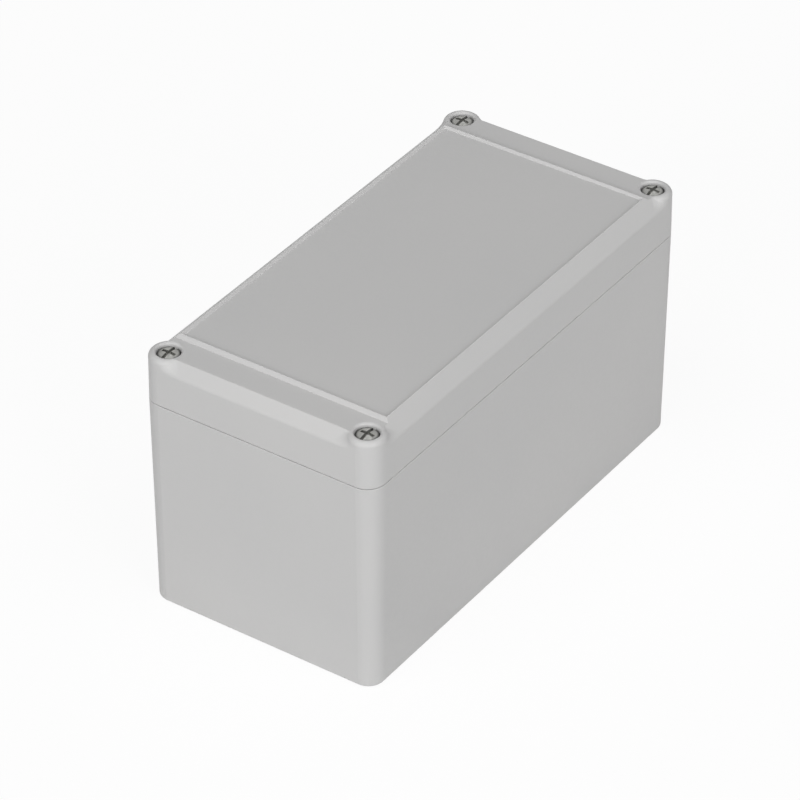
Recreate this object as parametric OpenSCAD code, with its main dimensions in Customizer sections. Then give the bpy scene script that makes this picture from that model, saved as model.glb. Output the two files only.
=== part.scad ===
// Screw-lid plastic project box: a deep moulded base, a lid with a recessed top
// between two screw strips, a seal in the lid's groove and four captive corner
// screws that run in threaded inserts. The origin is the centre of the underside,
// X runs along the box and Z is up.

/* [Box] */
// Length of the box at the parting line
box_l = 160; // [110:5:260]
// Width of the box at the parting line
box_w = 80; // [65:5:200]
// Height of the base, from the underside to the parting line
base_h = 71; // [35:1:120]
// Height of the lid, from the parting line to its crests
lid_h = 16.6; // [15.8:0.2:24]
// Radius of the upright corners at the parting line
corner_r = 6; // [5.6:0.2:8]
// Wall thickness
wall = 3; // [2.8:0.1:4]
// Floor thickness of the base
floor_t = 3; // [2:0.1:5]
// Thickness of the lid under its recess
lid_skin = 3.6; // [2:0.1:4]
// Draft of the base's walls, in degrees
base_draft = 0.6; // [0:0.1:1.2]
// Draft of the lid's walls, in degrees
lid_draft = 0.6; // [0:0.1:1.2]
// Rounding round the foot of the base
foot_round = 1; // [0.4:0.1:2]
// Rounding of both edges at the parting line
seam_round = 0.3; // [0.1:0.05:0.4]
// Height of the shadow gap round the parting line
seam_gap = 0.2; // [0.05:0.05:0.4]
// Depth of the shadow gap round the parting line
seam_depth = 0.7; // [0.5:0.05:0.8]
// Rounding where the cavity's walls meet the floor
floor_round = 1.5; // [0.5:0.1:3]

/* [Lid top] */
// Height of the sloping edge along the long sides
edge_chamfer = 4.4; // [3:0.05:5]
// Drop from the crests to the screw strips
strip_drop = 1.05; // [0.8:0.05:1.6]
// Depth of the recess below the crests
recess_depth = 0.7; // [0.5:0.1:2]
// Width of the screw strips, from the end of the box to the recess
end_land = 13.5; // [13.2:0.1:20]
// Flat on top of the crests
crest_w = 0.2; // [0.1:0.05:1]
// Rounding along the screw strips
edge_round = 0.5; // [0.1:0.1:0.8]
// Rounding at the foot of the sloping edges
slope_round = 1.5; // [0.2:0.1:2]
// Rounding round the top of each screw column
column_round = 1.75; // [0.5:0.05:1.8]
// Length of the blends between the screw columns and the sloping edges, at the strips
blend_l = 5; // [3:0.5:6]
// Extra length of these blends at the foot of the sloping edges
blend_spread = 4; // [0:0.5:6]

/* [Lid screws] */
// Diameter of the screw heads
head_d = 6.8; // [6.2:0.1:6.9]
// Height of the screw heads, with their domes
head_h = 2.9; // [2.6:0.1:3.3]
// Height of the dome on each head
dome_h = 0.6; // [0.3:0.05:0.8]
// Rounding round the edge of each dome
dome_round = 0.4; // [0.1:0.05:0.5]
// Depth of the heads below the screw strips
head_sink = 0.5; // [0.3:0.05:1]
// Clearance round the screw heads
head_gap = 0.25; // [0.15:0.05:0.3]
// Rounding of the hole round each head
well_round = 0.8; // [0.2:0.1:0.9]
// Diameter of the screw thread
thread_d = 4; // [3.4:0.1:4.2]
// Length of the screws below their heads
screw_l = 18; // [16:0.5:24]
// Length of the threaded end
thread_l = 7; // [5.5:0.5:8]
// Chamfer at the tip of each screw
tip_chamfer = 0.6; // [0.3:0.1:0.8]
// Diameter of the waist that keeps each screw in the lid
waist_d = 3.1; // [2.8:0.1:3.2]
// Travel of each screw as it is undone
screw_travel = 5.6; // [3:0.1:6]
// Width of the slot across each head
slot_w = 1; // [0.8:0.1:1.3]
// Length of the cross arms in each head
cross_l = 4.4; // [3.4:0.1:5]
// Depth of the slot and cross
drive_depth = 1.3; // [0.8:0.1:1.6]
// Clearance round the thread in the lid
neck_gap = 0.25; // [0.15:0.05:0.5]
// Outer diameter of the retaining rings
ring_d = 5.8; // [5.4:0.1:6]
// Thickness of the retaining rings
ring_t = 1; // [0.8:0.1:1.2]
// Width of the gap in each retaining ring
ring_slot = 2.6; // [2:0.1:2.7]
// Clearance round the retaining rings
ring_gap = 0.3; // [0.2:0.05:0.4]
// Clearance above the retaining rings when the screws are right up
ring_spare = 0.2; // [0.1:0.05:0.5]

/* [Threaded inserts] */
// Outer diameter of the inserts
insert_d = 5.6; // [5.2:0.1:6]
// Length of the inserts
insert_l = 8; // [6:0.5:12]
// Depth of the inserts below the parting line
insert_sink = 0.5; // [0:0.1:1]
// Depth of the hole below the insert
insert_sump = 3.5; // [1:0.5:8]
// Depth of the groove between the insert's gripping bands
insert_groove = 0.3; // [0.1:0.1:0.5]
// Countersink in the mouth of the insert
insert_mouth = 0.4; // [0.2:0.1:0.6]
// Running clearance in the inserts and round the screws' waists
running_gap = 0.05; // [0.02:0.01:0.1]

/* [Seal] */
// Height of the tongue on the base
tongue_h = 2.4; // [1.6:0.1:3]
// Width of the tongue on the base
tongue_w = 1.3; // [1:0.1:1.5]
// Ledge between the cavity and the tongue
tongue_inset = 0.6; // [0.5:0.1:0.8]
// Clearance on each side of the tongue
tongue_gap = 0.2; // [0.1:0.05:0.3]
// Height of the seal in the groove
seal_h = 2; // [1.5:0.1:3]
// Thickness of the lid's rim inside the groove
rim_lip = 1.2; // [1:0.1:1.6]

/* [Inside the base] */
// Radius of the corner posts inside
post_r = 6.5; // [6.3:0.1:8]
// Distance from the end walls to the board bosses
boss_inset_x = 16; // [12:0.5:24]
// Distance from the side walls to the board bosses
boss_inset_y = 12; // [8:0.5:16]
// Diameter of the board bosses
boss_d = 7; // [6:0.2:9]
// Height of the board bosses above the floor
boss_h = 6; // [3:0.5:12]
// Diameter of the pilot holes in the board bosses
boss_pilot_d = 2.5; // [2:0.1:3.2]
// Length of the fins round the board bosses
fin_l = 2.5; // [1:0.1:4]
// Thickness of the fins and of the board guides
rib_t = 1.2; // [0.8:0.1:1.6]
// Spacing of the board guides
guide_pitch = 25; // [15:1:40]
// Width of the slot in each board guide
guide_slot = 1.8; // [1.2:0.1:3]
// Depth of the board guides
guide_depth = 1.5; // [1:0.1:3]
// Distance from the top of the board guides to the parting line
guide_drop = 12; // [6:1:20]
// Diameter of the fixing holes in the underside
fixing_d = 3.3; // [2.5:0.1:4.2]
// Depth of the fixing holes in the underside
fixing_depth = 10; // [5:1:18]

/* [Inside the lid] */
// Distance from the lid's end walls to its bosses
lid_boss_inset_x = 21.2; // [14:0.2:30]
// Distance from the lid's side walls to its bosses
lid_boss_inset_y = 9.2; // [6:0.2:14]
// Diameter of the lid's bosses
lid_boss_d = 5; // [4.4:0.2:6]
// Height of the lid's bosses
lid_boss_h = 5; // [3:0.5:8]
// Diameter of the pilot holes in the lid's bosses
lid_pilot_d = 1.9; // [1.5:0.1:2.4]

/* [Hidden] */
$fn = 64;
plastic_grey = [0.80, 0.80, 0.79];
screw_steel = [0.62, 0.62, 0.60];
insert_brass = [0.78, 0.62, 0.32];
seal_rubber = [0.16, 0.16, 0.17];
nylon_white = [0.93, 0.92, 0.88];
arc_steps = 6;
edge_steps = 4;
dome_steps = 8;
blend_steps = 12;
blend_levels = 12;
blend_sink = 0.01;
overlap = 1;
fin_step = 1;

// Screw axes, which are also the centres of the upright corners
screw_x = box_l / 2 - corner_r;
screw_y = box_w / 2 - corner_r;

// Levels
crest_z = base_h + lid_h;
strip_z = crest_z - strip_drop;
recess_z = crest_z - recess_depth;
chamfer_z = crest_z - edge_chamfer;
ceiling_z = recess_z - lid_skin;
head_top_z = strip_z - head_sink;
dome_z = head_top_z - dome_h;
seat_z = head_top_z - head_h;
tip_z = seat_z - screw_l;
shoulder_z = tip_z + thread_l;
ring_well_z = shoulder_z + ring_t + screw_travel + ring_spare;
insert_z = base_h - insert_sink - insert_l;
groove_depth = tongue_h + seal_h;

// Outline of the base and lid, as distances from the screw axes
foot_r = corner_r - base_h * tan(base_draft);
chamfer_r = corner_r - (chamfer_z - base_h) * tan(lid_draft);
column_r = corner_r - (strip_z - base_h) * tan(lid_draft);

// Depth of the blends beside the screw columns, down to where the slope's rounding starts
blend_depth = strip_z - chamfer_z + slope_round * tan(22.5);

// Recess in the top of the lid, at its rim
recess_x = box_l / 2 - end_land;
recess_y = screw_y + chamfer_r - edge_chamfer - crest_w;

// Inner faces of the base and lid at the parting line
cavity_x = box_l / 2 - wall;
cavity_y = box_w / 2 - wall;
lid_inset = tongue_gap + rim_lip - tongue_inset;
lid_post_r = post_r + lid_inset;

// Sphere of the domed heads
dome_r = (pow(head_d / 2, 2) + dome_h * dome_h) / (2 * dome_h);
dome_angle = asin(head_d / 2 / dome_r);

// Clearance holes
well_r = head_d / 2 + head_gap;
neck_r = thread_d / 2 + neck_gap;
ring_well_r = ring_d / 2 + ring_gap;
insert_bore_r = thread_d / 2 + running_gap;
ring_bore_r = waist_d / 2 + running_gap;

function unit(v) = v / norm(v);

// Points of the arc that rounds the corner at b, on the way from a to c
function corner_arc(a, b, c, radius, steps) =
    let (
        u = unit(a - b),
        v = unit(c - b),
        half = acos(u * v) / 2,
        centre = b + unit(u + v) * radius / sin(half),
        first = b + u * radius / tan(half) - centre,
        last = b + v * radius / tan(half) - centre,
        start = atan2(first.y, first.x),
        turn = atan2(first.x * last.y - first.y * last.x, first * last)
    )
    [for (i = [0:steps])
        let (angle = start + turn * i / steps)
        centre + radius * [cos(angle), sin(angle)]];

// A path through [x, y, radius] corners, with each corner rounded by its radius
function rounded_path(corners, steps) = [
    for (i = [0:len(corners) - 1])
        let (here = [corners[i].x, corners[i].y])
        each corners[i][2] == 0
            ? [here]
            : corner_arc(
                [corners[i - 1].x, corners[i - 1].y], here,
                [corners[i + 1].x, corners[i + 1].y], corners[i][2], steps)
];

// The closed section whose right half is the path, moved out by the offset
module mirrored_section(path, offset) {
    polygon(concat(
        [for (p = path) [offset + p.x, p.y]],
        [for (i = [len(path) - 1:-1:0]) [-offset - path[i].x, path[i].y]]
    ));
}

// Sections extruded along Y and along X
module along_y(length) {
    rotate([90, 0, 0]) linear_extrude(length, center = true) children();
}

module along_x(length) {
    rotate([90, 0, 90]) linear_extrude(length, center = true) children();
}

// Copies at the four corners, each a mirror image of the one at +X and +Y
module each_corner() {
    for (flip_x = [0, 1], flip_y = [0, 1])
        mirror([flip_x, 0, 0]) mirror([0, flip_y, 0]) children();
}

// A block whose walls follow the side path all the way round
module moulded_block(side) {
    along_y(2 * screw_y) mirrored_section(side, screw_x);
    along_x(2 * screw_x) mirrored_section(side, screw_y);
    each_corner()
        translate([screw_x, screw_y, 0])
            rotate_extrude(angle = 90) polygon(side);
}

// Plan of one corner post, round towards the inside and reaching out to the walls
module post_plan(radius) {
    reach = corner_r + overlap;
    translate([screw_x, screw_y]) {
        circle(radius);
        translate([0, -radius]) square([reach, radius + reach]);
        translate([-radius, 0]) square([radius + reach, reach]);
    }
}

// Plan inside the walls and round the posts, moved out by the offset
module seal_plan(offset) {
    difference() {
        square([2 * (cavity_x + offset), 2 * (cavity_y + offset)], center = true);
        each_corner() post_plan(post_r - offset);
    }
}

// A loop between two offsets from the cavity, standing on the level z
module seal_loop(inner, outer, z, height) {
    translate([0, 0, z])
        linear_extrude(height)
            difference() {
                seal_plan(outer);
                seal_plan(inner);
            }
}

base_side = rounded_path([
    [0, 0, 0],
    [foot_r, 0, foot_round],
    [corner_r - seam_gap * tan(base_draft), base_h - seam_gap, seam_round],
    [corner_r - seam_depth, base_h - seam_gap, 0],
    [corner_r - seam_depth, base_h, 0],
    [0, base_h, 0]
], arc_steps);

// Half section of the cavity in the base, open at the top
function base_cavity_half(half) = rounded_path([
    [0, floor_t, 0],
    [half - (base_h - floor_t) * tan(base_draft), floor_t, floor_round],
    [half, base_h, 0],
    [half, base_h + overlap, 0],
    [0, base_h + overlap, 0]
], arc_steps);

module base_cavity() {
    difference() {
        intersection() {
            along_y(box_w) mirrored_section(base_cavity_half(cavity_x), 0);
            along_x(box_l) mirrored_section(base_cavity_half(cavity_y), 0);
        }
        each_corner()
            linear_extrude(base_h + 2 * overlap) post_plan(post_r);
    }
}

// Board boss on the floor with four fins and room for a self-tapping screw
boss_x = cavity_x - boss_inset_x;
boss_y = cavity_y - boss_inset_y;

module board_boss() {
    fin_span = boss_d + 2 * fin_l;
    translate([boss_x, boss_y, floor_t / 2]) {
        cylinder(h = floor_t / 2 + boss_h, d = boss_d);
        along_y(rib_t) boss_fin(fin_span);
        along_x(rib_t) boss_fin(fin_span);
    }
}

module boss_fin(span) {
    polygon([
        [-span / 2, 0],
        [span / 2, 0],
        [span / 2, floor_t / 2 + fin_step],
        [boss_d / 2, floor_t / 2 + boss_h - fin_step],
        [-boss_d / 2, floor_t / 2 + boss_h - fin_step],
        [-span / 2, floor_t / 2 + fin_step]
    ]);
}

// Upright guides that hold a board across the box, on the side wall at +Y
guide_y = cavity_y - (base_h - floor_t) * tan(base_draft) - guide_depth;
guide_count = floor((screw_x - post_r - 2 * rib_t - guide_slot) / guide_pitch);

module board_guides() {
    guide_top = base_h - guide_drop;
    for (i = [-guide_count:guide_count], side = [-1, 1])
        translate([i * guide_pitch + side * (guide_slot + rib_t) / 2, 0, 0])
            along_x(rib_t)
                polygon([
                    [guide_y, floor_t / 2],
                    [cavity_y + wall / 4, floor_t / 2],
                    [cavity_y + wall / 4, guide_top],
                    [cavity_y, guide_top],
                    [guide_y, guide_top - 2 * guide_depth]
                ]);
}

module base() {
    color(plastic_grey)
    difference() {
        union() {
            difference() {
                moulded_block(base_side);
                base_cavity();
            }
            seal_loop(tongue_inset, tongue_inset + tongue_w, base_h - overlap, tongue_h + overlap);
            each_corner() board_boss();
            board_guides();
            mirror([0, 1, 0]) board_guides();
        }
        each_corner() {
            // Hole for the threaded insert, with a sump for the screw's end
            translate([screw_x, screw_y, insert_z - insert_sump])
                cylinder(h = base_h, d = insert_d);
            // Room for the retaining ring, where it reaches down into the post
            translate([screw_x, screw_y, shoulder_z - ring_gap])
                cylinder(h = ring_t + 2 * ring_gap, r = ring_well_r);
            // Fixing hole in the underside
            translate([screw_x, screw_y, -overlap])
                cylinder(h = fixing_depth + overlap, d = fixing_d);
            // Pilot hole in the board boss
            translate([boss_x, boss_y, floor_t])
                cylinder(h = boss_h + overlap, d = boss_pilot_d);
        }
    }
}

// Right half of the lid's cross section, with the long sides' sloping edge
lid_cross_half = rounded_path([
    [0, base_h, 0],
    [screw_y + corner_r, base_h, seam_round],
    [screw_y + chamfer_r, chamfer_z, slope_round],
    [screw_y + chamfer_r - edge_chamfer, crest_z, crest_w / 2],
    [0, crest_z, 0]
], edge_steps);

// Right half of its long section: sloping end, screw strip and ridge
ridge_x = recess_x + crest_w;
lid_long_half = rounded_path([
    [0, base_h, 0],
    [screw_x + corner_r, base_h, seam_round],
    [screw_x + chamfer_r, chamfer_z, slope_round],
    [screw_x + chamfer_r - (strip_z - chamfer_z), strip_z, edge_round],
    [ridge_x + strip_drop, strip_z, edge_round / 2],
    [ridge_x, crest_z, crest_w / 2],
    [0, crest_z, 0]
], edge_steps);

// Section of the upright corners below the sloping edges
corner_side = rounded_path([
    [0, base_h, 0],
    [corner_r, base_h, seam_round],
    [chamfer_r, chamfer_z, 0],
    [0, chamfer_z, 0]
], arc_steps);

// Section of a screw column, which stands up through the sloping edges
column_side = rounded_path([
    [0, chamfer_z, 0],
    [chamfer_r, chamfer_z, 0],
    [column_r, strip_z, column_round],
    [0, strip_z, 0]
], arc_steps);

// Reach of a screw column and of a sloping edge from the column's axis, at a depth below
// the strips
function column_reach(depth) =
    let (rise = column_round - depth)
    column_r + depth * tan(lid_draft)
        - (rise > 0 ? column_round - sqrt(column_round * column_round - rise * rise) : 0);

function slope_reach(depth) =
    let (rise = blend_depth - depth)
    rise > slope_round * sin(45)
        ? chamfer_r - (strip_z - chamfer_z) + depth
        : chamfer_r - slope_round + sqrt(slope_round * slope_round - rise * rise);

// One level of the blend between a column and the sloping edge at +Y: an easy curve from
// the top of the column to the slope, and two points inside the lid
function blend_level(depth) =
    let (
        slope = slope_reach(depth) - blend_sink,
        swell = column_reach(depth) - blend_sink - slope,
        length = blend_l + blend_spread * depth / blend_depth
    )
    concat(
        [[0, 0, strip_z - depth]],
        [for (i = [0:blend_steps])
            let (share = i / blend_steps)
            [-length * share, slope + swell * (1 + cos(180 * share)) / 2, strip_z - depth]],
        [[-length, 0, strip_z - depth]]
    );

// The blend, skinned over its levels, which are closest together at its foot and top
module slope_blend() {
    count = blend_steps + 3;
    levels = [for (i = [1:blend_levels])
        blend_level(blend_depth * (1 + cos(180 * i / blend_levels)) / 2)];
    last = (blend_levels - 1) * count;
    polyhedron(
        points = [for (level = levels) each level],
        faces = concat(
            [for (j = [1:count - 2]) [0, j, j + 1]],
            [for (j = [1:count - 2]) [last, last + j + 1, last + j]],
            [for (i = [0:blend_levels - 2], j = [0:count - 1])
                let (a = i * count + j, b = i * count + (j + 1) % count)
                each [[a, a + count, b + count], [a, b + count, b]]]
        )
    );
}

module lid_block() {
    difference() {
        intersection() {
            along_y(2 * box_w) mirrored_section(lid_long_half, 0);
            along_x(2 * box_l) mirrored_section(lid_cross_half, 0);
        }
        each_corner()
            translate([screw_x, screw_y, base_h - overlap])
                cube([2 * corner_r, 2 * corner_r, lid_h + 2 * overlap]);
    }
    each_corner()
        translate([screw_x, screw_y, 0]) {
            rotate_extrude(angle = 90) polygon(corner_side);
            rotate_extrude() polygon(column_side);
            slope_blend();
            mirror([1, -1, 0]) slope_blend();
        }
}

// Half section of the cavity in the lid, open at the bottom
function lid_cavity_half(half) = rounded_path([
    [0, base_h - overlap, 0],
    [half, base_h - overlap, 0],
    [half, base_h, 0],
    [half - (ceiling_z - base_h) * tan(lid_draft), ceiling_z, floor_round],
    [0, ceiling_z, 0]
], arc_steps);

module lid_cavity() {
    difference() {
        intersection() {
            along_y(box_w) mirrored_section(lid_cavity_half(cavity_x - lid_inset), 0);
            along_x(box_l) mirrored_section(lid_cavity_half(cavity_y - lid_inset), 0);
        }
        each_corner()
            translate([0, 0, base_h - 2 * overlap])
                linear_extrude(lid_h) post_plan(lid_post_r);
    }
}

// Half section of the recess in the lid's top, whose walls slope
function recess_half(half) = [
    [0, recess_z],
    [half - recess_depth, recess_z],
    [half + strip_drop, crest_z + strip_drop],
    [0, crest_z + strip_drop]
];

// Holes of one lid screw: head well, neck, and the well that the ring travels in
module screw_holes() {
    well_mouth = rounded_path([
        [0, seat_z, 0],
        [well_r, seat_z, 0],
        [well_r, strip_z, well_round],
        [corner_r, strip_z, 0],
        [corner_r, strip_z + overlap, 0],
        [0, strip_z + overlap, 0]
    ], edge_steps);
    translate([screw_x, screw_y, 0]) {
        rotate_extrude() polygon(well_mouth);
        translate([0, 0, base_h]) cylinder(h = lid_h, r = neck_r);
        translate([0, 0, base_h - overlap])
            cylinder(h = ring_well_z - base_h + overlap, r = ring_well_r);
    }
}

lid_boss_x = cavity_x - lid_inset - lid_boss_inset_x;
lid_boss_y = cavity_y - lid_inset - lid_boss_inset_y;

module lid() {
    color(plastic_grey)
    difference() {
        union() {
            difference() {
                lid_block();
                lid_cavity();
            }
            each_corner()
                translate([lid_boss_x, lid_boss_y, ceiling_z - lid_boss_h])
                    cylinder(h = lid_boss_h + lid_skin / 2, d = lid_boss_d);
        }
        intersection() {
            along_y(box_w) mirrored_section(recess_half(recess_x), 0);
            along_x(box_l) mirrored_section(recess_half(recess_y), 0);
        }
        seal_loop(tongue_inset - tongue_gap, tongue_inset + tongue_w + tongue_gap,
            base_h - overlap, groove_depth + overlap);
        each_corner() {
            screw_holes();
            translate([lid_boss_x, lid_boss_y, ceiling_z - lid_boss_h - overlap])
                cylinder(h = lid_boss_h + overlap, d = lid_pilot_d);
        }
    }
}

module lid_gasket() {
    color(seal_rubber)
        seal_loop(tongue_inset - tongue_gap, tongue_inset + tongue_w + tongue_gap,
            base_h + tongue_h, seal_h);
}

// Lid screw on the axis at the sides given: head, waist and threaded end
module lid_screw(side_x, side_y) {
    shank_side = [
        [0, tip_z],
        [thread_d / 2 - tip_chamfer, tip_z],
        [thread_d / 2, tip_z + tip_chamfer],
        [thread_d / 2, shoulder_z],
        [waist_d / 2, shoulder_z],
        [waist_d / 2, seat_z]
    ];
    head_side = rounded_path([
        [head_d / 2, seat_z, 0],
        [head_d / 2, dome_z, dome_round],
        each [for (i = [dome_steps - 1:-1:0])
            let (angle = dome_angle * i / dome_steps)
            [dome_r * sin(angle), head_top_z - dome_r * (1 - cos(angle)), 0]]
    ], edge_steps);
    color(screw_steel)
    translate([side_x * screw_x, side_y * screw_y, 0])
        difference() {
            rotate_extrude() polygon(concat(shank_side, head_side));
            translate([-head_d, -slot_w / 2, head_top_z - drive_depth])
                cube([2 * head_d, slot_w, head_h]);
            translate([-slot_w / 2, -cross_l / 2, head_top_z - drive_depth])
                cube([slot_w, cross_l, head_h]);
        }
}

// Split ring on the waist, which stops the screw from leaving the lid
module retaining_ring(side_x, side_y) {
    color(nylon_white)
    translate([side_x * screw_x, side_y * screw_y, shoulder_z])
        difference() {
            cylinder(h = ring_t, d = ring_d);
            translate([0, 0, -overlap]) cylinder(h = ring_t + 2 * overlap, r = ring_bore_r);
            translate([0, -ring_slot / 2, -overlap])
                cube([ring_d, ring_slot, ring_t + 2 * overlap]);
        }
}

// Brass insert with two gripping bands and a countersunk mouth
module threaded_insert(side_x, side_y) {
    band = insert_l / 3;
    neck = insert_d / 2 - insert_groove;
    color(insert_brass)
    translate([side_x * screw_x, side_y * screw_y, insert_z])
        rotate_extrude()
            polygon([
                [insert_bore_r, 0],
                [insert_d / 2, 0],
                [insert_d / 2, band],
                [neck, band],
                [neck, 2 * band],
                [insert_d / 2, 2 * band],
                [insert_d / 2, insert_l],
                [insert_bore_r + insert_mouth, insert_l],
                [insert_bore_r, insert_l - insert_mouth]
            ]);
}

module screw_left_front() lid_screw(-1, -1);
module screw_right_front() lid_screw(1, -1);
module screw_right_rear() lid_screw(1, 1);
module screw_left_rear() lid_screw(-1, 1);
module retainer_left_front() retaining_ring(-1, -1);
module retainer_right_front() retaining_ring(1, -1);
module retainer_right_rear() retaining_ring(1, 1);
module retainer_left_rear() retaining_ring(-1, 1);
module insert_left_front() threaded_insert(-1, -1);
module insert_right_front() threaded_insert(1, -1);
module insert_right_rear() threaded_insert(1, 1);
module insert_left_rear() threaded_insert(-1, 1);

base();
lid();
lid_gasket();
screw_left_front();
screw_right_front();
screw_right_rear();
screw_left_rear();
retainer_left_front();
retainer_right_front();
retainer_right_rear();
retainer_left_rear();
insert_left_front();
insert_right_front();
insert_right_rear();
insert_left_rear();
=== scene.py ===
"""Looks of the plastic project box: grey moulded plastic, turned steel lid screws with cut threads,
brass inserts, nylon retainers and a rubber seal, with the camera and the studio."""

import math

import bmesh
import bpy
from mathutils import Matrix, Vector


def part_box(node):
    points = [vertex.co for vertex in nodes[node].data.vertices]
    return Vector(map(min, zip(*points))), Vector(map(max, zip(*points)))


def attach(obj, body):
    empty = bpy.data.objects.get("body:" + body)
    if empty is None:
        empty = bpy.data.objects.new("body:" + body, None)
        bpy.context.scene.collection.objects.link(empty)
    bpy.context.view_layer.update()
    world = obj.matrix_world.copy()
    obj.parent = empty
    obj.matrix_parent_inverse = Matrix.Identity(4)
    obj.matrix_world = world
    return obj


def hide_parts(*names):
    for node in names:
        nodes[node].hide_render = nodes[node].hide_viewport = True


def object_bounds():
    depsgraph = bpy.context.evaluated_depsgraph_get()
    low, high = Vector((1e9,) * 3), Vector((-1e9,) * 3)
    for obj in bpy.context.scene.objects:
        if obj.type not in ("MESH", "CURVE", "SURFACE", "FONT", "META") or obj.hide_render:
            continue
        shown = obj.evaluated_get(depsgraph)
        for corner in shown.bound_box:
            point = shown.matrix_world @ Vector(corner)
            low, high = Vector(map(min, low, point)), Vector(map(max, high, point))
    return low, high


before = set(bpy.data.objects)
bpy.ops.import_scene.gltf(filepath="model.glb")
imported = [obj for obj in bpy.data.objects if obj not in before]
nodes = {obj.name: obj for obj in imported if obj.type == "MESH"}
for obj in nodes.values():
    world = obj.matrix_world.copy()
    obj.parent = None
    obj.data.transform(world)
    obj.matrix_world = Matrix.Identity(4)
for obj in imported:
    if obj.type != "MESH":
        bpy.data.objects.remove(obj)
cad_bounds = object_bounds()

# Camera, in degrees and metres, about the middle of the box
AZIMUTH = -55.483
ELEVATION = 35.838
DISTANCE = 1.3054
AIM_LEFT = 0.00494
AIM_BELOW = 0.00374
LENS_MM = 199.65
SENSOR_MM = 36.0
CLIP_END = 20.0

# Studio: lamps as azimuth, elevation and power, all disks of one size at one distance
LAMPS = {
    "left": (-85.0, 22.0, 34.2),
    "left_rear": (-115.0, 60.0, 23.6),
    "front": (-25.0, 22.0, 34.4),
    "front_high": (5.0, 60.0, 18.5),
    "top": (0.0, 85.0, 5.2),
}
LAMP_DISTANCE = 3.2
LAMP_SIZE = 1.4
AMBIENT = 0.10
FLOOR_SIZE = 8.0
FLOOR_GAP = 0.0002
FLOOR_COLOUR = 0.80
FLOOR_SEEN = 0.95
FLOOR_WHITE = 0.93

# Shared sizes of the made pieces, in metres
WELD = 1e-6
CUT_ABOVE = 1e-5
PLASTIC_EDGE = 0.00025
SEAL_EDGE = 0.0003
RETAINER_EDGE = 0.0001
STEEL_EDGE = 0.00006
AROUND = 48
ROWS_A_PITCH = 10
THREAD_R = 0.002
THREAD_DEPTH = 0.0003
THREAD_PITCH = 0.0007
THREAD_FLAT = 0.25
RUNNING_GAP = 0.00005
INSERT_THREAD = 0.0002
INSERT_MOUTH = 0.0004
INSERT_GROOVE = 0.0003
KNURL_TEETH = 24
KNURL_PITCH = 0.0012
KNURL_DEPTH = 0.00012
KNURL_ROWS = 8

# Modifiers, with angles in degrees
FLAT_ANGLE = 0.5
PLASTIC_SHARP = 32
STEEL_SHARP = 40
BRASS_SHARP = 35
BEVEL_STEPS = 2
PLASTIC_WEIGHT = 80
STEEL_WEIGHT = 60

# Colours, linear
PLASTIC_LEVEL = 0.56
STEEL_DULL = (0.30, 0.30, 0.285, 1.0)
STEEL_BRIGHT = (0.44, 0.44, 0.42, 1.0)
STEEL_RING = (0.24, 0.24, 0.23, 1.0)
# The next colour is painted shade: the dark of the shadowed gap round each screw head.
STEEL_RIM_SHADE = (0.07, 0.07, 0.068, 1.0)
BRASS_DULL = (0.58, 0.40, 0.14, 1.0)
BRASS_BRIGHT = (0.76, 0.58, 0.26, 1.0)
RUBBER_DARK = (0.012, 0.012, 0.013, 1.0)
RUBBER_LIGHT = (0.035, 0.035, 0.037, 1.0)
NYLON_DULL = (0.70, 0.68, 0.60, 1.0)
NYLON_BRIGHT = (0.80, 0.78, 0.70, 1.0)

CORNERS = ("left_front", "right_front", "right_rear", "left_rear")


# ---------------------------------------------------------------- materials


class Nodes:
    """A node tree with short ways to add and join nodes."""

    def __init__(self, tree):
        self.tree = tree

    def join(self, socket, value):
        if isinstance(value, bpy.types.NodeSocket):
            self.tree.links.new(value, socket)
        else:
            socket.default_value = value

    def add(self, kind, inputs=None, **settings):
        made = self.tree.nodes.new(kind)
        for key, value in settings.items():
            setattr(made, key, value)
        for key, value in (inputs or {}).items():
            self.join(made.inputs[key], value)
        return made

    def ray_is(self, *kinds):
        """1 for a ray of any of these kinds and 0 for others."""
        paths = self.add("ShaderNodeLightPath").outputs
        found = paths[f"Is {kinds[0]} Ray"]
        for kind in kinds[1:]:
            both = {0: found, 1: paths[f"Is {kind} Ray"]}
            found = self.add("ShaderNodeMath", both, operation="MAXIMUM").outputs[0]
        return found

    def mix(self, share, first, second):
        """Two shaders, with a share of the second."""
        return self.add("ShaderNodeMixShader", {0: share, 1: first, 2: second}).outputs[0]


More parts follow.
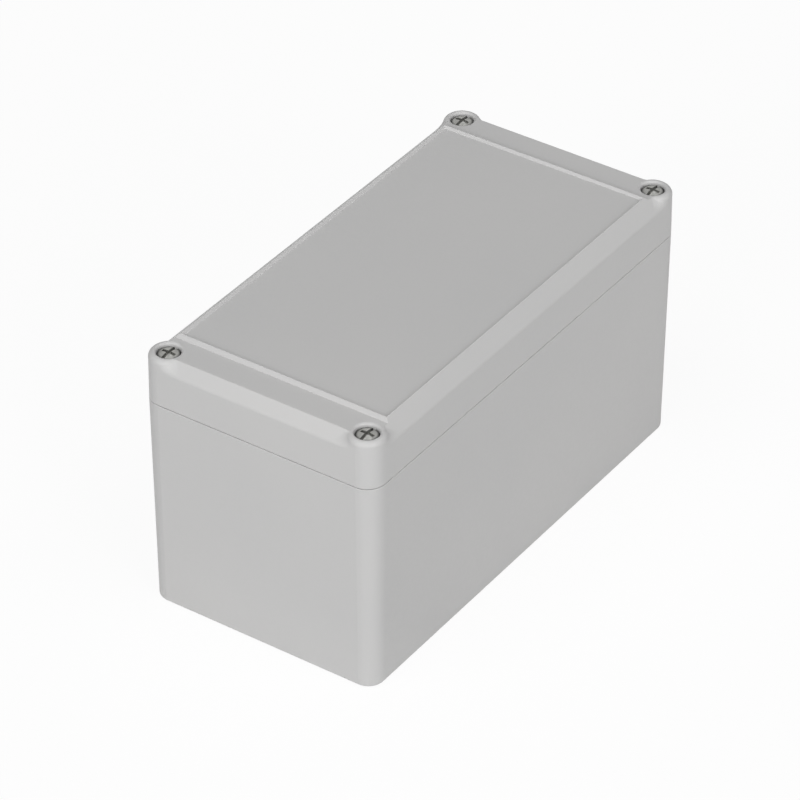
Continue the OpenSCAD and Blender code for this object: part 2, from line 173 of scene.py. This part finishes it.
class Shader(Nodes):
    """A material's nodes, with textures that keep their scale in metres."""

    def __init__(self, name):
        self.material = bpy.data.materials.new(name)
        self.material.use_nodes = True
        super().__init__(self.material.node_tree)
        self.surface = self.tree.nodes["Principled BSDF"]
        self.place = self.add("ShaderNodeTexCoord").outputs

    def noise(self, scale, detail=2.0, roughness=0.5):
        """Noise whose features measure about 1 / scale metres."""
        inputs = {"Vector": self.place["Object"], "Scale": scale, "Detail": detail, "Roughness": roughness}
        return self.add("ShaderNodeTexNoise", inputs).outputs["Fac"]

    def spread(self, value, low, high, start=0.3, end=0.7):
        """The value, taken from start..end to low..high."""
        inputs = {"Value": value, "From Min": start, "From Max": end, "To Min": low, "To Max": high}
        return self.add("ShaderNodeMapRange", inputs).outputs["Result"]

    def blend(self, share, first, second):
        """Two colours, with a share of the second."""
        return self.add("ShaderNodeMix", {0: share, 6: first, 7: second}, data_type="RGBA").outputs[2]

    def vector(self, operation, first, second=None):
        """Outputs of a vector operation on one or two values."""
        inputs = {0: first} if second is None else {0: first, 1: second}
        return self.add("ShaderNodeVectorMath", inputs, operation=operation).outputs

    def bump(self, height, distance, strength, normal=None):
        """A normal raised by the height, on top of another normal where one is given."""
        inputs = {"Height": height, "Distance": distance, "Strength": strength}
        if normal is not None:
            inputs["Normal"] = normal
        return self.add("ShaderNodeBump", inputs).outputs["Normal"]

    def set(self, **values):
        """Inputs of the surface, by name with _ for a space."""
        for key, value in values.items():
            self.join(self.surface.inputs[key.replace("_", " ")], value)


def grey(level, warmth=0.0):
    """A linear grey, a little warmer in tone with warmth above 0."""
    return (level * (1 + warmth), level, level * (1 - warmth), 1.0)


def moulded_plastic(name, level):
    """Fine-grained light grey moulding, with a painted highlight that makes its edges a touch lighter."""
    s = Shader(name)
    cloud = s.spread(s.noise(scale=14.0, detail=3.0), low=0.0, high=1.0)
    colour = s.blend(cloud, grey(level * 0.985, 0.004), grey(level * 1.015, 0.008))
    speck = s.spread(s.noise(scale=2600.0, detail=1.0), low=0.0, high=0.1, start=0.35, end=0.65)
    colour = s.blend(speck, colour, grey(level * 0.90, 0.004))
    # Painted highlight: rounded edges are coloured a touch lighter, standing in for the light they catch.
    rounded = s.add("ShaderNodeBevel", {"Radius": 0.0004}, samples=4).outputs["Normal"]
    plain = s.add("ShaderNodeNewGeometry").outputs["Normal"]
    facing = s.vector("DOT_PRODUCT", rounded, plain)["Value"]
    edge_highlight = s.spread(facing, low=0.5, high=0.0, start=0.9, end=1.0)
    colour = s.blend(edge_highlight, colour, grey(level * 1.08, 0.004))
    grain = s.noise(scale=3200.0, detail=2.0, roughness=0.6)
    normal = s.bump(grain, distance=0.00003, strength=0.35)
    normal = s.bump(s.noise(scale=60.0), distance=0.0002, strength=0.15, normal=normal)
    satin = s.spread(s.noise(scale=900.0, detail=3.0), low=0.46, high=0.60)
    s.set(Base_Color=colour, Roughness=satin, Normal=normal)
    return s.material


def turned_steel(name):
    """Screw steel with fine rings left by turning, and a painted shade that darkens it towards the rim of
    the head.
    """
    s = Shader(name)
    centred = s.vector("SUBTRACT", s.place["Generated"], (0.5, 0.5, 0.0))["Vector"]
    reach = s.vector("LENGTH", s.vector("MULTIPLY", centred, (1.0, 1.0, 0.0))["Vector"])["Value"]
    rings = s.add("ShaderNodeTexNoise", {"W": reach, "Scale": 70.0}, noise_dimensions="1D").outputs["Fac"]
    worn = s.spread(s.noise(scale=700.0, detail=4.0, roughness=0.6), low=0.0, high=1.0)
    colour = s.blend(worn, STEEL_DULL, STEEL_BRIGHT)
    colour = s.blend(s.spread(rings, low=0.0, high=0.5), colour, STEEL_RING)
    # Painted shade: the head is coloured near black towards its rim, standing in for the shadowed gap
    # round it.
    rim = s.spread(reach, low=0.0, high=0.85, start=0.38, end=0.46)
    colour = s.blend(rim, colour, STEEL_RIM_SHADE)
    tangent = s.add("ShaderNodeTangent", direction_type="RADIAL", axis="Z").outputs["Tangent"]
    satin = s.spread(s.noise(scale=2200.0, detail=3.0), low=0.30, high=0.42)
    normal = s.bump(s.noise(scale=3800.0), distance=0.00002, strength=0.4)
    normal = s.bump(rings, distance=0.00001, strength=0.5, normal=normal)
    s.set(Base_Color=colour, Metallic=1.0, Roughness=satin, Normal=normal)
    s.set(Anisotropic=0.9, Anisotropic_Rotation=0.25, Tangent=tangent)
    return s.material


def turned_brass(name):
    """Brass in patches of two tones, with a fine grain."""
    s = Shader(name)
    patches = s.spread(s.noise(scale=1500.0, detail=3.0), low=0.0, high=1.0)
    satin = s.spread(s.noise(scale=2600.0, detail=3.0), low=0.24, high=0.42)
    s.set(Base_Color=s.blend(patches, BRASS_DULL, BRASS_BRIGHT), Metallic=1.0, Roughness=satin)
    s.set(Normal=s.bump(s.noise(scale=4000.0), distance=0.00002, strength=0.5))
    return s.material


def foam_rubber(name):
    """Nearly black rubber with fine pores."""
    s = Shader(name)
    inputs = {"Vector": s.place["Object"], "Scale": 2200.0}
    pores = s.add("ShaderNodeTexVoronoi", inputs).outputs["Distance"]
    walls = s.spread(pores, low=0.0, high=1.0, start=0.1, end=0.6)
    matte = s.spread(s.noise(scale=1200.0, detail=3.0), low=0.70, high=0.90)
    s.set(Base_Color=s.blend(walls, RUBBER_DARK, RUBBER_LIGHT), Roughness=matte)
    s.set(Normal=s.bump(pores, distance=0.00015, strength=0.6))
    return s.material


def natural_nylon(name):
    """Creamy nylon, a little cloudy."""
    s = Shader(name)
    clouds = s.spread(s.noise(scale=900.0, detail=3.0), low=0.0, high=1.0)
    satin = s.spread(s.noise(scale=2500.0), low=0.32, high=0.46)
    s.set(Base_Color=s.blend(clouds, NYLON_DULL, NYLON_BRIGHT), Roughness=satin)
    s.set(Normal=s.bump(s.noise(scale=3000.0), distance=0.00003, strength=0.4))
    return s.material


def dress(obj, material):
    obj.data.materials.clear()
    obj.data.materials.append(material)


# ---------------------------------------------------------------- pieces


def add_modifier(obj, kind, **settings):
    modifier = obj.modifiers.new(kind.title(), kind)
    for key, value in settings.items():
        setattr(modifier, key, value)
    return modifier


def soften(obj, width):
    """Rounds a piece's sharp edges by modifiers, which leave its own mesh as it is."""
    add_modifier(obj, "WELD", merge_threshold=WELD)
    add_modifier(obj, "DECIMATE", decimate_type="DISSOLVE", angle_limit=math.radians(FLAT_ANGLE))
    add_modifier(
        obj, "BEVEL", width=width, segments=BEVEL_STEPS, limit_method="ANGLE",
        angle_limit=math.radians(PLASTIC_SHARP), use_clamp_overlap=True, loop_slide=True,
    )
    add_modifier(obj, "WEIGHTED_NORMAL", keep_sharp=True, weight=PLASTIC_WEIGHT)


def join_rings(bm, rings, closed=False):
    """Faces between each ring of vertices and the next."""
    pairs = list(zip(rings, rings[1:]))
    if closed:
        pairs.append((rings[-1], rings[0]))
    for low, high in pairs:
        for i in range(len(low)):
            k = (i + 1) % len(low)
            bm.faces.new((low[i], low[k], high[k], high[i]))


def make_piece(name, bm, material, body, replaced):
    """A smooth piece from the mesh, which rides a body and replaces a CAD node."""
    bmesh.ops.recalc_face_normals(bm, faces=bm.faces)
    mesh = bpy.data.meshes.new(name)
    bm.to_mesh(mesh)
    bm.free()
    mesh.shade_smooth()
    piece = bpy.data.objects.new(name, mesh)
    bpy.context.scene.collection.objects.link(piece)
    dress(piece, material)
    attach(piece, body)
    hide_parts(replaced)
    return piece


def thread_share(z, angle):
    """How far the thread's flank stands between root, 0, and crest, 1."""
    phase = (z / THREAD_PITCH - angle / math.tau) % 1.0
    return min(1.0, max(0.0, 2.0 - 4.0 * abs(phase - 0.5) + THREAD_FLAT))


def ring(bm, axis, z, radius_at):
    """Vertices round the axis at one level, each at the radius for its angle."""
    verts = []
    for i in range(AROUND):
        angle = math.tau * i / AROUND
        radius = radius_at(angle)
        x = axis[0] + radius * math.cos(angle)
        y = axis[1] + radius * math.sin(angle)
        verts.append(bm.verts.new((x, y, z)))
    return verts


def thread_levels(low, high):
    """Even levels from low to high, close enough to draw the thread."""
    count = max(2, round((high - low) / THREAD_PITCH * ROWS_A_PITCH))
    return [low + (high - low) * i / count for i in range(count + 1)]


def screw_piece(corner):
    """A lid screw: head and waist from the CAD, with a cut thread below."""
    node = "screw_" + corner
    low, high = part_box(node)
    axis = ((low.x + high.x) / 2, (low.y + high.y) / 2)
    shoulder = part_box("retainer_" + corner)[0].z
    bm = bmesh.new()
    bm.from_mesh(nodes[node].data)
    bmesh.ops.remove_doubles(bm, verts=bm.verts, dist=WELD)
    cut = bmesh.ops.bisect_plane(
        bm, geom=bm.verts[:] + bm.edges[:] + bm.faces[:], plane_co=(0, 0, shoulder + CUT_ABOVE),
        plane_no=(0, 0, 1), clear_inner=True,
    )
    rim = [e for e in cut["geom_cut"] if isinstance(e, bmesh.types.BMEdge)]
    bmesh.ops.edgeloop_fill(bm, edges=rim)
    flat = math.radians(FLAT_ANGLE)
    bmesh.ops.dissolve_limit(bm, angle_limit=flat, verts=bm.verts, edges=bm.edges)
    rings = [ring(bm, axis, low.z, lambda angle: THREAD_R - 2 * THREAD_DEPTH)]
    for z in thread_levels(low.z, shoulder):
        grow = min(1.0, (z - low.z) / THREAD_DEPTH / 2, (shoulder - z) / THREAD_PITCH)

        def radius_at(angle, z=z, grow=grow):
            return THREAD_R - THREAD_DEPTH * (1 - thread_share(z, angle) * grow)

        if z > low.z:
            rings.append(ring(bm, axis, z, radius_at))
    join_rings(bm, rings)
    bm.faces.new(reversed(rings[0]))
    bm.faces.new(rings[-1])
    piece = make_piece("lid_screw_" + corner, bm, steel, node, node)
    add_modifier(
        piece, "BEVEL", width=STEEL_EDGE, segments=BEVEL_STEPS, limit_method="ANGLE",
        angle_limit=math.radians(STEEL_SHARP), use_clamp_overlap=True,
    )
    add_modifier(piece, "WEIGHTED_NORMAL", keep_sharp=True, weight=STEEL_WEIGHT)


def insert_piece(corner):
    """A brass insert: knurled bands outside, countersunk mouth and a thread in its bore."""
    node = "insert_" + corner
    low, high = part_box(node)
    axis = ((low.x + high.x) / 2, (low.y + high.y) / 2)
    outer = (high.x - low.x) / 2
    band = (high.z - low.z) / 3
    bore = THREAD_R + RUNNING_GAP
    bm = bmesh.new()
    rings = []

    def knurled(z):
        def radius_at(angle):
            ridge = abs(((angle * KNURL_TEETH / math.tau + z / KNURL_PITCH) % 1.0) - 0.5)
            cross = abs(((angle * KNURL_TEETH / math.tau - z / KNURL_PITCH) % 1.0) - 0.5)
            return outer - KNURL_DEPTH * (ridge + cross)
        return radius_at

    def plain(radius):
        return lambda angle: radius

    def threaded(z):
        depth = min(1.0, (z - low.z) / THREAD_PITCH, (high.z - INSERT_MOUTH - z) / THREAD_PITCH)
        return lambda angle: bore + INSERT_THREAD * (1 - thread_share(z, angle)) * max(0.0, depth)

    for start in (low.z, low.z + 2 * band):
        rings.append(ring(bm, axis, start, plain(outer - INSERT_GROOVE)))
        for i in range(KNURL_ROWS + 1):
            z = start + band * i / KNURL_ROWS
            rings.append(ring(bm, axis, z, knurled(z)))
        rings.append(ring(bm, axis, start + band, plain(outer - INSERT_GROOVE)))
    rings.append(ring(bm, axis, high.z, plain(bore + INSERT_MOUTH)))
    for z in reversed(thread_levels(low.z, high.z - INSERT_MOUTH)):
        rings.append(ring(bm, axis, z, threaded(z)))
    join_rings(bm, rings, closed=True)
    piece = make_piece("brass_insert_" + corner, bm, brass, "base", node)
    add_modifier(piece, "EDGE_SPLIT", split_angle=math.radians(BRASS_SHARP))


plastic = moulded_plastic("moulded_plastic", PLASTIC_LEVEL)
steel = turned_steel("turned_steel")
brass = turned_brass("turned_brass")
rubber = foam_rubber("foam_rubber")
nylon = natural_nylon("natural_nylon")

for name in ("base", "lid"):
    dress(nodes[name], plastic)
    soften(nodes[name], PLASTIC_EDGE)
dress(nodes["lid_gasket"], rubber)
soften(nodes["lid_gasket"], SEAL_EDGE)
for corner in CORNERS:
    screw_piece(corner)
    insert_piece(corner)
    dress(nodes["retainer_" + corner], nylon)
    soften(nodes["retainer_" + corner], RETAINER_EDGE)


# ---------------------------------------------------------------- stage


def floor_material():
    """Pale floor that the camera and reflections see almost white, with the soft shadow kept."""
    s = Shader("pale_floor")
    plain = s.add("ShaderNodeBsdfDiffuse", {"Color": grey(FLOOR_COLOUR)}).outputs[0]
    shaded = s.add("ShaderNodeBsdfDiffuse", {"Color": grey(FLOOR_SEEN)}).outputs[0]
    white = s.add("ShaderNodeEmission", {"Color": grey(1.0), "Strength": 1.0}).outputs[0]
    seen = s.mix(FLOOR_WHITE, shaded, white)
    look = s.mix(s.ray_is("Camera", "Glossy", "Transmission"), plain, seen)
    s.join(s.tree.nodes["Material Output"].inputs["Surface"], look)
    s.tree.nodes.remove(s.surface)
    return s.material


def make_floor():
    """A flat floor just below the box."""
    mesh = bpy.data.meshes.new("floor")
    half = FLOOR_SIZE / 2
    corners = [(-half, -half, 0), (half, -half, 0), (half, half, 0), (-half, half, 0)]
    mesh.from_pydata(corners, [], [(0, 1, 2, 3)])
    floor = bpy.data.objects.new("floor", mesh)
    bpy.context.scene.collection.objects.link(floor)
    floor.location.z = cad_bounds[0][2] - FLOOR_GAP
    dress(floor, floor_material())


def make_world():
    """Soft light from all round, seen as white by the camera and in reflections."""
    world = bpy.data.worlds.new("studio")
    bpy.context.scene.world = world
    world.use_nodes = True
    world.node_tree.nodes.clear()
    w = Nodes(world.node_tree)
    soft = w.add("ShaderNodeBackground", {"Color": grey(1.0), "Strength": AMBIENT}).outputs[0]
    white = w.add("ShaderNodeBackground", {"Color": grey(1.0), "Strength": 1.0}).outputs[0]
    look = w.mix(w.ray_is("Camera", "Glossy", "Transmission"), soft, white)
    w.add("ShaderNodeOutputWorld", {"Surface": look})


def direction(azimuth, elevation):
    """Unit vector from the box towards a camera or lamp at these angles."""
    turn, rise = math.radians(azimuth), math.radians(elevation)
    return Vector((math.sin(turn) * math.cos(rise), -math.cos(turn) * math.cos(rise), math.sin(rise)))


def make_lamp(name, azimuth, elevation, power):
    """A round lamp that faces the middle of the box."""
    light = bpy.data.lights.new(name, "AREA")
    light.shape = "DISK"
    light.size = LAMP_SIZE
    light.energy = power
    lamp = bpy.data.objects.new(name, light)
    bpy.context.scene.collection.objects.link(lamp)
    towards = direction(azimuth, elevation)
    lamp.location = centre + towards * LAMP_DISTANCE
    lamp.rotation_euler = towards.to_track_quat("Z", "Y").to_euler()


def make_camera():
    """The camera at the photo's angle, moved aside and down to frame the box as it does."""
    data = bpy.data.cameras.new("camera")
    data.sensor_width = SENSOR_MM
    data.lens = LENS_MM
    data.clip_end = CLIP_END
    camera = bpy.data.objects.new("camera", data)
    bpy.context.scene.collection.objects.link(camera)
    back = direction(AZIMUTH, ELEVATION)
    right = Vector((0, 0, 1)).cross(back).normalized()
    up = back.cross(right)
    turn = Matrix((right, up, back)).transposed()
    place = centre - right * AIM_LEFT - up * AIM_BELOW + back * DISTANCE
    camera.matrix_world = Matrix.Translation(place) @ turn.to_4x4()
    bpy.context.scene.camera = camera


centre = (Vector(cad_bounds[0]) + Vector(cad_bounds[1])) / 2
make_camera()
make_floor()
make_world()
for name, setting in LAMPS.items():
    make_lamp(name, *setting)
bpy.context.scene.view_settings.view_transform = "Standard"
